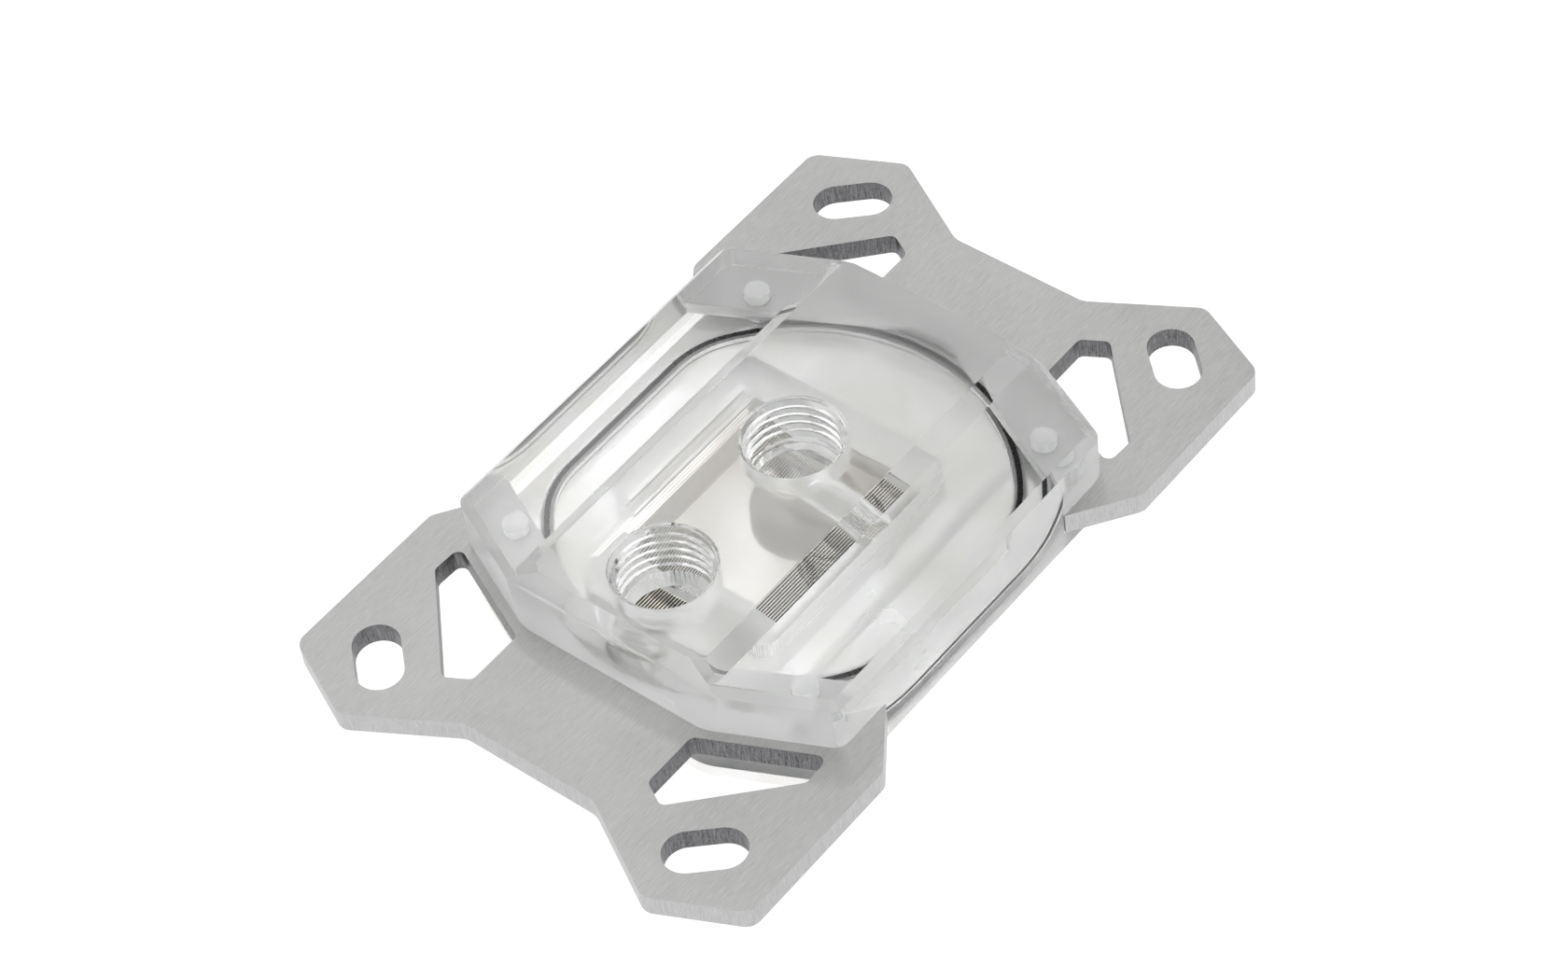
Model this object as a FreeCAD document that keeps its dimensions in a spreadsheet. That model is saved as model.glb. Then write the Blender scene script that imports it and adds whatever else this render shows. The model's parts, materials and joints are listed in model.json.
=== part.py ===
import FreeCAD, Part
import math
import os
import Sketcher

# Processor cold plate with a clear top, two steel brackets and four screws.
# Frame: X along the length, Y across, Z up, origin under the middle of the contact face.

os.makedirs("parts", exist_ok=True)
doc = FreeCAD.newDocument("ColdPlate")

# Driving dimensions in millimetres and degrees
sheet = doc.addObject("Spreadsheet::Sheet", "Dim")
SIZES = [
    ("plate_thick", 1.9, "copper plate at its rim"),
    ("seam_gap", 0.1, "gap between plate and clear top"),
    ("flange_thick", 2.45, "clear top below the bracket slots"),
    ("bracket_thick", 3.0, "bracket sheet"),
    ("bracket_clear", 0.05, "gap above and below a bracket in its slot"),
    ("shoulder_rise", 7.5, "bracket top to shelf"),
    ("platform_rise", 1.7, "shelf to platform"),
    ("block_half_length", 32.2, "clear top, middle to end"),
    ("block_half_width", 29.0, "clear top, middle to long side"),
    ("shoulder_run", 6.9, "slanted corner, along the length"),
    ("shoulder_drop", 15.1, "slanted corner, across"),
    ("shoulder_radius", 2.0, "rounding, long side to slanted corner"),
    ("end_radius", 7.0, "rounding, slanted corner to end"),
    ("flange_reach", 0.8, "how far the flange stands out lengthwise"),
    ("edge_chamfer", 1.05, "chamfer around the shelf"),
    ("end_arc_radius", 20.5, "curve of the end faces"),
    ("platform_blank", 0.8, "platform blank past the end, cut by the end curves"),
    ("platform_margin", 0.95, "platform side inside the end of the slanted corner"),
    ("platform_cut", 3.35, "platform corner cut, back from the end"),
    ("platform_cut_angle", 49.7, "corner cut, degrees from X"),
    ("platform_bevel", 2.45, "run of the bevel down to the shelf"),
    ("slot_reach", 15.0, "bracket slot along the long side, from the end"),
    ("slot_depth", 2.7, "bracket slot at the middle of the end"),
    ("slot_slant", 26.0, "slanted wall of the slot, across"),
    ("bracket_fit", 0.15, "side gap between bracket and slot wall"),
    ("tip_reach", 0.1, "bracket tip past the long side"),
    ("wing_run", 8.0, "wing edge, from its start at the slot"),
    ("bracket_half_width", 34.84, "bracket, middle to wing edge"),
    ("bracket_shoulder_x", 49.2, "outer corner of the wing, far from the block"),
    ("bracket_half_length", 54.5, "far tip of the wing"),
    ("bracket_tip_width", 23.3, "half width at the far tip"),
    ("bracket_waist_x", 47.15, "end edge of the waist"),
    ("bracket_waist_y", 9.96, "half width of the waist edge"),
    ("bracket_rounding", 2.0, "outer corners of the bracket"),
    ("waist_rounding", 3.0, "inner corners at the waist"),
    ("bolt_slot_x", 45.4, "bolt slot centre"),
    ("bolt_slot_y", 25.1, "bolt slot centre"),
    ("bolt_slot_angle", 47.9, "bolt slot direction, degrees from X"),
    ("bolt_slot_width", 5.9, "bolt slot width"),
    ("bolt_slot_length", 10.1, "bolt slot, end to end"),
    ("cutout_wing_margin", 5.2, "cutout corner back from the end of the clear top"),
    ("cutout_side_margin", 0.6, "cutout corner inside the long side"),
    ("cutout_head", 4.35, "cutout width at its wing end"),
    ("cutout_head_rise", 0.2, "cutout corner near the bolt slot, further across"),
    ("cutout_far_x", 43.4, "cutout corner toward the waist"),
    ("cutout_far_y", 16.8, "cutout corner toward the waist"),
    ("cutout_low_x", 41.6, "cutout corner at the waist"),
    ("cutout_waist_margin", 0.45, "cutout edge inside the end of the slanted corner"),
    ("cutout_end_margin", 1.5, "cutout corner past the end of the clear top"),
    ("cutout_rounding", 1.0, "cutout corners"),
    ("screw_end_margin", 9.25, "screw, from the end"),
    ("screw_side_margin", 6.85, "screw, from the long side"),
    ("screw_shank", 3.0, "screw shank diameter"),
    ("screw_bore", 3.2, "hole for the shank"),
    ("screw_head", 5.4, "screw head diameter"),
    ("head_recess", 0.15, "screw head below the contact face"),
    ("head_play", 0.05, "gap around the head in its countersink"),
    ("screw_socket", 2.0, "hexagon socket, across flats"),
    ("socket_depth", 1.1, "hexagon socket depth"),
    ("screw_grip", 0.6, "shank above the bracket"),
    ("tip_chamfer", 0.4, "chamfer at the screw tip"),
    ("dimple_depth", 2.4, "blind hole above the bracket slot"),
    ("seal_bulge", 3.3, "seal end curve radius, more than its half width"),
    ("seal_end_margin", 3.7, "seal centre line, from the end"),
    ("seal_side_margin", 3.8, "seal centre line, from the long side"),
    ("seal_corner", 12.0, "seal centre line, corner radius"),
    ("seal_width", 1.4, "seal section, across"),
    ("seal_height", 1.3, "seal section, pressed height"),
    ("seal_edge", 0.35, "bevel of the seal section"),
    ("groove_play", 0.15, "gap between seal and groove wall"),
    ("plate_inset", 1.06, "plate stands back from the long sides"),
    ("plate_rounding", 5.0, "plate corners"),
    ("fin_outlet_margin", 12.2, "fin field, from the outlet end"),
    ("fin_inlet_margin", 20.9, "fin field, from the inlet end"),
    ("fin_side_margin", 16.2, "fin field, from the long side"),
    ("fin_rise", 1.6, "fin tops above the plate"),
    ("fin_root", 0.8, "fin roots below the plate face"),
    ("fin_pitch", 0.4, "fin to fin"),
    ("fin_gap", 0.2, "channel between fins"),
    ("fin_play", 0.1, "gap between fin tops and clear top"),
    ("field_play", 0.3, "gap around the fin field"),
    ("port_bore", 11.45, "port, inside the thread"),
    ("port_mouth", 13.4, "port chamfer, outer diameter"),
    ("inlet_x", 3.3, "inlet port"),
    ("outlet_margin", 11.2, "outlet port, from the end"),
    ("inlet_depth", 8.6, "inlet port, full bore"),
    ("drill_angle", 31.0, "slope of the drilled bottom, degrees"),
    ("duct_bore", 5.0, "duct from inlet port to side channel"),
    ("duct_x", 1.8, "duct, place along the length"),
    ("duct_rise", 0.9, "duct axis above the bracket top, at the port axis"),
    ("duct_length", 14.2, "duct"),
    ("duct_slope", 14.0, "duct, degrees below level"),
    ("channel_rise", 2.0, "channel ceiling above the flange"),
    ("channel_outlet_margin", 20.4, "side channels, from the outlet end"),
    ("channel_inlet_margin", 17.5, "inlet chamber wall, from the end"),
    ("chamber_overlap", 1.8, "inlet chamber over the fins"),
    ("channel_gap", 0.8, "side channel, away from the fins"),
    ("channel_width", 3.8, "side channel, across"),
    ("channel_rounding", 1.5, "corners of the side channel"),
    ("strip_overlap", 1.1, "duct channel, over the fins"),
    ("strip_margin", 1.3, "duct channel, outside the fins"),
    ("strip_rounding", 2.2, "corners of the duct channel"),
    ("outlet_wall", 6.7, "outlet chamber, from the end"),
    ("outlet_run", 9.45, "outlet chamber, length"),
    ("outlet_side_margin", 18.0, "outlet chamber, from the long side"),
    ("outlet_rounding", 3.0, "corners of the outlet chamber"),
    ("overcut", 2.0, "how far a cut runs past a face"),
]
for row, (alias, size, meaning) in enumerate(SIZES, start=1):
    sheet.set("A%d" % row, alias)
    sheet.set("B%d" % row, str(size))
    sheet.set("C%d" % row, meaning)
    sheet.setAlias("B%d" % row, alias)
doc.recompute()

# Heights, worked out from the driving dimensions
BLOCK_BOTTOM = "(Dim.plate_thick + Dim.seam_gap)"
FLANGE_TOP = "(%s + Dim.flange_thick)" % BLOCK_BOTTOM
BRACKET_BOTTOM = "(%s + Dim.bracket_clear)" % FLANGE_TOP
BRACKET_TOP = "(%s + Dim.bracket_thick)" % BRACKET_BOTTOM
SLOT_HEIGHT = "(Dim.bracket_thick + 2 * Dim.bracket_clear)"
SHELF = "(%s + Dim.shoulder_rise)" % BRACKET_TOP
PLATFORM = "(%s + Dim.platform_rise)" % SHELF
CHANNEL_TOP = "(%s + Dim.channel_rise)" % FLANGE_TOP
FIN_TOP = "(Dim.plate_thick + Dim.fin_rise)"
GROOVE_TOP = "(Dim.plate_thick + Dim.seal_height)"

# Places that follow the clear top's outline
LONG_X = "(Dim.block_half_length - Dim.shoulder_run)"
END_Y = "(Dim.block_half_width - Dim.shoulder_drop)"
SLOT_START_X = "(Dim.block_half_length - Dim.slot_reach)"
SLOT_END_X = "(Dim.block_half_length - Dim.slot_depth)"
SLOT_END_Y = "(Dim.block_half_width - Dim.slot_slant)"
SCREW_X = "(Dim.block_half_length - Dim.screw_end_margin)"
SCREW_Y = "(Dim.block_half_width - Dim.screw_side_margin)"
FIN_LOW_X = "(Dim.fin_outlet_margin - Dim.block_half_length)"
FIN_HIGH_X = "(Dim.block_half_length - Dim.fin_inlet_margin)"
FIN_HALF_WIDTH = "(Dim.block_half_width - Dim.fin_side_margin)"
OUTLET_X = "(Dim.outlet_margin - Dim.block_half_length)"


def value(expression):
    """Return the number that an expression has with the present sizes."""
    result = sheet.evalExpression(expression)
    return float(getattr(result, "Value", result))


def minus(expression):
    """Return the expression with its sign changed."""
    return "-(%s)" % expression


def new_body(label):
    """Make an empty body with the label of its node."""
    body = doc.addObject("PartDesign::Body", label)
    body.Label = label
    return body


def new_sketch(body, name, height="0", plane="XY_Plane"):
    """Add a sketch on an origin plane of the body, lifted along the plane's normal."""
    sketch = body.newObject("Sketcher::SketchObject", name)
    origin_plane = [item for item in body.Origin.OriginFeatures if item.Role == plane][0]
    sketch.AttachmentSupport = [(origin_plane, "")]
    sketch.MapMode = "FlatFace"
    sketch.setExpression(".AttachmentOffset.Base.z", height)
    return sketch


def bind(sketch, *constraint, size):
    """Add a dimension to a sketch and bind it to an expression."""
    index = sketch.addConstraint(Sketcher.Constraint(*constraint, value(size)))
    sketch.setExpression("Constraints[%d]" % index, size)


def pin(sketch, geometry, end, point):
    """Hold one point of a line, arc or circle at a pair of expressions."""
    bind(sketch, "DistanceX", -1, 1, geometry, end, size=point[0])
    bind(sketch, "DistanceY", -1, 1, geometry, end, size=point[1])


def arc_between(start, end, radius):
    """Return the short arc from one point to another, turning left."""
    chord = end - start
    rise = math.sqrt(radius ** 2 - (chord.Length / 2) ** 2)
    centre = start + chord / 2 + FreeCAD.Vector(-chord.y, chord.x, 0).normalize() * rise
    circle = Part.Circle(centre, FreeCAD.Vector(0, 0, 1), radius)
    first = math.atan2(start.y - centre.y, start.x - centre.x)
    last = math.atan2(end.y - centre.y, end.x - centre.x)
    return Part.ArcOfCircle(circle, first, last)


def outline(sketch, corners, arcs=None):
    """Draw a closed outline through corners that are pairs of expressions.

    arcs maps the number of a stretch to its radius; an arc turns left on its way.
    The other stretches are straight.
    """
    arcs = arcs or {}
    points = [FreeCAD.Vector(value(x), value(y), 0) for x, y in corners]
    pieces = []
    for number, start in enumerate(points):
        end = points[(number + 1) % len(points)]
        if number in arcs:
            pieces.append(sketch.addGeometry(arc_between(start, end, value(arcs[number]))))
            bind(sketch, "Radius", pieces[-1], size=arcs[number])
        else:
            pieces.append(sketch.addGeometry(Part.LineSegment(start, end)))
        pin(sketch, pieces[-1], 1, corners[number])
    for number, piece in enumerate(pieces):
        follower = pieces[(number + 1) % len(pieces)]
        sketch.addConstraint(Sketcher.Constraint("Coincident", piece, 2, follower, 1))


def disc(sketch, centre, diameter):
    """Draw a circle with its centre and diameter bound to expressions."""
    middle = FreeCAD.Vector(value(centre[0]), value(centre[1]), 0)
    ring = Part.Circle(middle, FreeCAD.Vector(0, 0, 1), value(diameter) / 2)
    ring = sketch.addGeometry(ring)
    pin(sketch, ring, 3, centre)
    bind(sketch, "Diameter", ring, size=diameter)


def box_corners(low_x, high_x, low_y, high_y):
    """Return the corners of a rectangle, anticlockwise."""
    return [(low_x, low_y), (high_x, low_y), (high_x, high_y), (low_x, high_y)]


def pad(body, sketch, length, name):
    """Raise a sketch upward by a length."""
    feature = body.newObject("PartDesign::Pad", name)
    feature.Profile = sketch
    feature.setExpression("Length", length)
    doc.recompute()
    return feature


def pocket(body, sketch, length, name, upward=False, symmetric=False):
    """Cut a sketch out, downward unless told otherwise, and check that it cuts."""
    before = body.Shape.Volume
    feature = body.newObject("PartDesign::Pocket", name)
    feature.Profile = sketch
    feature.Reversed = upward
    if symmetric:
        feature.SideType = "Symmetric"
    feature.setExpression("Length", length)
    doc.recompute()
    if body.Shape.Volume >= before:
        raise RuntimeError("%s cuts nothing" % name)
    return feature


def upright_edges(shape, places, reach=0.02):
    """Name the upright edges of a shape that stand at the given places."""
    names = []
    for number, edge in enumerate(shape.Edges, start=1):
        first = edge.Vertexes[0].Point
        last = edge.Vertexes[-1].Point
        leaning = math.hypot(first.x - last.x, first.y - last.y) > reach
        if leaning or abs(first.z - last.z) < reach:
            continue
        if any(math.hypot(first.x - x, first.y - y) < reach for x, y in places):
            names.append("Edge%d" % number)
    return names


def level_edges(shape, height, reach=0.001):
    """Name the edges of a shape that lie at one height."""
    level = value(height)
    return ["Edge%d" % number for number, edge in enumerate(shape.Edges, start=1)
            if abs(edge.BoundBox.ZMin - level) < reach
            and abs(edge.BoundBox.ZMax - level) < reach]


def round_corners(body, base, places, radius, name):
    """Round the upright edges of a feature at places given as expressions."""
    spots = [(value(x), value(y)) for x, y in places]
    feature = body.newObject("PartDesign::Fillet", name)
    feature.Base = (base, upright_edges(base.Shape, spots))
    feature.setExpression("Radius", radius)
    doc.recompute()
    return feature


def four_ways(x, y):
    """Return a place and its three mirror images."""
    return [(x, y), (minus(x), y), (minus(x), minus(y)), (x, minus(y))]


def octagon(long_x, half_width, end_x, end_y):
    """Return the corners of an outline with four slanted corners, anticlockwise."""
    right = [(end_x, minus(end_y)), (end_x, end_y)]
    top = [(long_x, half_width), (minus(long_x), half_width)]
    left = [(minus(end_x), end_y), (minus(end_x), minus(end_y))]
    bottom = [(minus(long_x), minus(half_width)), (long_x, minus(half_width))]
    return right + top + left + bottom


# Outlines that several pieces share
FLANGE_LONG_X = "(%s + Dim.flange_reach)" % LONG_X
FLANGE_END_X = "(Dim.block_half_length + Dim.flange_reach)"
SHOULDER_LEAN = "(Dim.shoulder_run / Dim.shoulder_drop)"
FIN_COUNT = "floor(2 * %s / Dim.fin_pitch)" % FIN_HALF_WIDTH
SCREW_PLACES = four_ways(SCREW_X, SCREW_Y)


def screw_holes(body, name, height, length, upward):
    """Cut the four screw holes into a body."""
    sketch = new_sketch(body, name + "Sketch", height)
    for place in SCREW_PLACES:
        disc(sketch, place, "Dim.screw_bore")
    return pocket(body, sketch, length, name, upward=upward)


def seal_outline(sketch, offset):
    """Draw the seal's centre line, moved outward by an expression."""
    side_y = "(Dim.block_half_width - Dim.seal_side_margin)"
    radius = "(%s + Dim.seal_bulge)" % side_y
    centre_x = "(Dim.block_half_length - Dim.seal_end_margin - %s)" % radius
    corner_y = "(%s - Dim.seal_corner)" % side_y
    reach = "(%s - Dim.seal_corner)" % radius
    run = "sqrt(%s ^ 2 - %s ^ 2)" % (reach, corner_y)
    corner_x = "(%s + %s)" % (centre_x, run)
    end_radius = "(%s + (%s))" % (radius, offset)
    corner_radius = "(Dim.seal_corner + (%s))" % offset
    half_width = "(%s + (%s))" % (side_y, offset)
    end_x = "(%s + %s * %s / %s)" % (centre_x, run, end_radius, reach)
    end_y = "(%s * %s / %s)" % (corner_y, end_radius, reach)
    corners = [
        (end_x, minus(end_y)), (end_x, end_y),
        (corner_x, half_width), (minus(corner_x), half_width),
        (minus(end_x), end_y), (minus(end_x), minus(end_y)),
        (minus(corner_x), minus(half_width)), (corner_x, minus(half_width)),
    ]
    arcs = {0: end_radius, 1: corner_radius, 3: corner_radius,
            4: end_radius, 5: corner_radius, 7: corner_radius}
    outline(sketch, corners, arcs)


def make_plate():
    """Copper plate: rim with slanted corners, raised fin block, countersunk holes."""
    body = new_body("cold_plate")
    half_width = "(Dim.block_half_width - Dim.plate_inset)"
    long_x = "(%s + Dim.plate_inset * %s)" % (FLANGE_LONG_X, SHOULDER_LEAN)
    sketch = new_sketch(body, "PlateSketch")
    outline(sketch, octagon(long_x, half_width, FLANGE_END_X, END_Y))
    base = pad(body, sketch, "Dim.plate_thick", "PlatePad")
    base = round_corners(body, base, four_ways(long_x, half_width),
                         "Dim.plate_rounding", "PlateCorners")
    round_corners(body, base, four_ways(FLANGE_END_X, END_Y),
                  "Dim.end_radius", "PlateEnds")

    sketch = new_sketch(body, "FinBlockSketch", "Dim.plate_thick")
    outline(sketch, box_corners(FIN_LOW_X, FIN_HIGH_X, minus(FIN_HALF_WIDTH),
                                FIN_HALF_WIDTH))
    pad(body, sketch, "Dim.fin_rise", "FinBlock")

    first_y = "(-(%s - 1) * Dim.fin_pitch / 2)" % FIN_COUNT
    sketch = new_sketch(body, "FinGapSketch", FIN_TOP)
    outline(sketch, box_corners(FIN_LOW_X, FIN_HIGH_X,
                                first_y + " - Dim.fin_gap / 2", first_y + " + Dim.fin_gap / 2"))
    gap = pocket(body, sketch, "Dim.fin_rise + Dim.fin_root", "FinGap")
    pattern = body.newObject("PartDesign::LinearPattern", "FinGaps")
    pattern.Originals = [gap]
    pattern.Direction = (sketch, ["V_Axis"])
    pattern.setExpression("Length", "(%s - 1) * Dim.fin_pitch" % FIN_COUNT)
    pattern.setExpression("Occurrences", FIN_COUNT)
    body.Tip = pattern
    doc.recompute()

    holes = screw_holes(body, "PlateHoles", "Dim.plate_thick", "Dim.plate_thick", False)
    sink = ("(Dim.screw_head - Dim.screw_bore) / 2 + Dim.head_recess + Dim.head_play")
    feature = body.newObject("PartDesign::Chamfer", "Countersinks")
    bottom_rings = [name for name in level_edges(holes.Shape, "0")
                    if abs(holes.Shape.getElement(name).Length
                           - math.pi * value("Dim.screw_bore")) < 0.01]
    feature.Base = (holes, bottom_rings)
    feature.setExpression("Size", sink)
    doc.recompute()
    return body


def make_seal():
    """Rubber ring between the plate and the clear top, in its groove."""
    body = new_body("main_seal")
    sketch = new_sketch(body, "SealSketch", "Dim.plate_thick")
    seal_outline(sketch, "Dim.seal_width / 2")
    seal_outline(sketch, "-Dim.seal_width / 2")
    base = pad(body, sketch, "Dim.seal_height", "SealPad")
    feature = body.newObject("PartDesign::Chamfer", "SealEdges")
    edges = level_edges(base.Shape, "Dim.plate_thick") + level_edges(base.Shape, GROOVE_TOP)
    feature.Base = (base, edges)
    feature.setExpression("Size", "Dim.seal_edge")
    doc.recompute()
    return body


def platform_outline(sketch, run):
    """Draw the platform, moved outward by the run of its bevel at that height."""
    side_y = "(%s - Dim.platform_margin + %s)" % (END_Y, run)
    blank_x = "(Dim.block_half_length + Dim.platform_blank)"
    start_x = "(Dim.block_half_length - Dim.platform_cut)"
    across = "sin(Dim.platform_cut_angle)"
    along = "cos(Dim.platform_cut_angle)"
    slope = "tan(Dim.platform_cut_angle)"
    shift = "(%s * %s - %s * (1 - %s) / %s)" % (run, across, run, along, slope)
    cut_x = "(%s + %s)" % (start_x, shift)
    end_y = "(%s - (%s - %s) * %s)" % (side_y, blank_x, cut_x, slope)
    outline(sketch, octagon(cut_x, side_y, blank_x, end_y))


def end_curve(sketch, side):
    """Draw what is cut from one end of the clear top, as seen along the width."""
    top = "(%s + Dim.overcut)" % PLATFORM
    rise = "(Dim.shoulder_rise + Dim.platform_rise + Dim.overcut)"
    centre_x = "(Dim.block_half_length - Dim.end_arc_radius)"
    top_x = "(%s + sqrt(Dim.end_arc_radius ^ 2 - %s ^ 2))" % (centre_x, rise)
    far_x = "(Dim.block_half_length + Dim.overcut)"
    if side > 0:
        corners = [("Dim.block_half_length", BRACKET_TOP), (top_x, top), (far_x, top),
                   (far_x, BRACKET_TOP)]
    else:
        corners = [(minus(top_x), top), (minus("Dim.block_half_length"), BRACKET_TOP),
                   (minus(far_x), BRACKET_TOP), (minus(far_x), top)]
    outline(sketch, corners, {0: "Dim.end_arc_radius"})


def slot_outline(sketch, side):
    """Draw one bracket slot of the clear top, open to the end and the long sides."""
    sign = "" if side > 0 else "-"
    far_x = sign + "(%s + Dim.overcut)" % FLANGE_END_X
    start_x = sign + SLOT_START_X
    end_x = sign + SLOT_END_X
    outer_y = "(Dim.block_half_width + Dim.overcut)"
    outline(sketch, [
        (far_x, outer_y), (start_x, outer_y), (start_x, "Dim.block_half_width"),
        (end_x, SLOT_END_Y), (end_x, minus(SLOT_END_Y)),
        (start_x, "-Dim.block_half_width"), (start_x, minus(outer_y)), (far_x, minus(outer_y)),
    ])


def make_top():
    """Clear top: flange, bracket slots, bevelled platform, ports and water ways."""
    body = new_body("top_block")
    upper_long = four_ways(LONG_X, "Dim.block_half_width")
    upper_end = four_ways("Dim.block_half_length", END_Y)
    sketch = new_sketch(body, "UpperSketch", BLOCK_BOTTOM)
    outline(sketch, octagon(LONG_X, "Dim.block_half_width",
                            "Dim.block_half_length", END_Y))
    base = pad(body, sketch, "%s - %s" % (SHELF, BLOCK_BOTTOM), "UpperPad")
    base = round_corners(body, base, upper_long, "Dim.shoulder_radius", "UpperCorners")
    base = round_corners(body, base, upper_end, "Dim.end_radius", "UpperEnds")
    feature = body.newObject("PartDesign::Chamfer", "ShelfChamfer")
    feature.Base = (base, level_edges(base.Shape, SHELF))
    feature.setExpression("Size", "Dim.edge_chamfer")
    doc.recompute()

    lower = new_sketch(body, "PlatformFootSketch", SHELF)
    platform_outline(lower, "Dim.platform_bevel")
    upper = new_sketch(body, "PlatformTopSketch", PLATFORM)
    platform_outline(upper, "0")
    feature = body.newObject("PartDesign::AdditiveLoft", "Platform")
    feature.Profile = lower
    feature.Sections = [upper]
    feature.Ruled = True
    doc.recompute()

    sketch = new_sketch(body, "EndCurveSketch", plane="XZ_Plane")
    end_curve(sketch, 1)
    end_curve(sketch, -1)
    pocket(body, sketch, "2 * (Dim.block_half_width + Dim.overcut)", "EndCurves",
           symmetric=True)

    sketch = new_sketch(body, "FlangeSketch", BLOCK_BOTTOM)
    outline(sketch, octagon(FLANGE_LONG_X, "Dim.block_half_width",
                            FLANGE_END_X, END_Y))
    base = pad(body, sketch, "Dim.flange_thick", "FlangePad")
    base = round_corners(body, base, four_ways(FLANGE_LONG_X, "Dim.block_half_width"),
                         "Dim.shoulder_radius", "FlangeCorners")
    round_corners(body, base, four_ways(FLANGE_END_X, END_Y),
                  "Dim.end_radius", "FlangeEnds")

    for name, side in (("RightSlot", 1), ("LeftSlot", -1)):
        sketch = new_sketch(body, name + "Sketch", FLANGE_TOP)
        slot_outline(sketch, side)
        pocket(body, sketch, SLOT_HEIGHT, name, upward=True)

    cut_water_ways(body)
    cut_ports(body)
    screw_holes(body, "TopHoles", BLOCK_BOTTOM,
                "%s + Dim.bracket_clear + Dim.dimple_depth - %s" % (BRACKET_TOP, BLOCK_BOTTOM),
                True)
    return body


def cut_water_ways(body):
    """Cut the seal groove, the fin recess, the channels and the outlet chamber."""
    groove = new_sketch(body, "GrooveSketch", BLOCK_BOTTOM)
    seal_outline(groove, "(Dim.seal_width / 2 + Dim.groove_play)")
    seal_outline(groove, "-(Dim.seal_width / 2 + Dim.groove_play)")
    pocket(body, groove, "%s - %s" % (GROOVE_TOP, BLOCK_BOTTOM), "Groove", upward=True)

    field = new_sketch(body, "FinRecessSketch", BLOCK_BOTTOM)
    half_width = "(%s + Dim.field_play)" % FIN_HALF_WIDTH
    outline(field, box_corners(FIN_LOW_X + " - Dim.field_play", FIN_HIGH_X + " + Dim.field_play",
                               minus(half_width), half_width))
    pocket(body, field, "%s + Dim.fin_play - %s" % (FIN_TOP, BLOCK_BOTTOM), "FinRecess",
           upward=True)

    height = "%s - %s" % (CHANNEL_TOP, BLOCK_BOTTOM)
    low_x = "(Dim.channel_outlet_margin - Dim.block_half_length)"
    high_x = "(Dim.block_half_length - Dim.channel_inlet_margin)"
    inner_x = "(%s - Dim.chamber_overlap)" % FIN_HIGH_X
    inner_y = "(%s + Dim.channel_gap)" % FIN_HALF_WIDTH
    outer_y = "(%s + Dim.channel_width)" % inner_y
    strip_x = "(%s - Dim.field_play)" % FIN_LOW_X
    strip_inner_y = "-(%s - Dim.strip_overlap)" % FIN_HALF_WIDTH
    strip_outer_y = "-(%s + Dim.strip_margin)" % FIN_HALF_WIDTH
    duct_side = [(strip_x, strip_outer_y), (high_x, strip_outer_y)]
    far_side = [(high_x, outer_y), (low_x, outer_y)]
    inner = [(low_x, inner_y), (inner_x, inner_y), (inner_x, strip_inner_y),
             (strip_x, strip_inner_y)]
    channel = new_sketch(body, "ChannelSketch", BLOCK_BOTTOM)
    outline(channel, duct_side + far_side + inner)
    base = pocket(body, channel, height, "Channels", upward=True)
    base = round_corners(body, base, far_side, "Dim.channel_rounding", "ChannelCorners")
    round_corners(body, base, duct_side, "Dim.strip_rounding", "StripCorners")

    low_x = "(Dim.outlet_wall - Dim.block_half_length)"
    high_x = "(%s + Dim.outlet_run)" % low_x
    side_y = "(Dim.block_half_width - Dim.outlet_side_margin)"
    corner_x = low_x + " + Dim.outlet_rounding"
    corner_y = "(%s - Dim.outlet_rounding)" % side_y
    outlet = new_sketch(body, "OutletSketch", BLOCK_BOTTOM)
    corners = [(corner_x, minus(side_y)), (high_x, minus(side_y)), (high_x, side_y),
               (corner_x, side_y), (low_x, corner_y), (low_x, minus(corner_y))]
    outline(outlet, corners, {3: "Dim.outlet_rounding", 5: "Dim.outlet_rounding"})
    pocket(body, outlet, height, "OutletChamber", upward=True)


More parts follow.
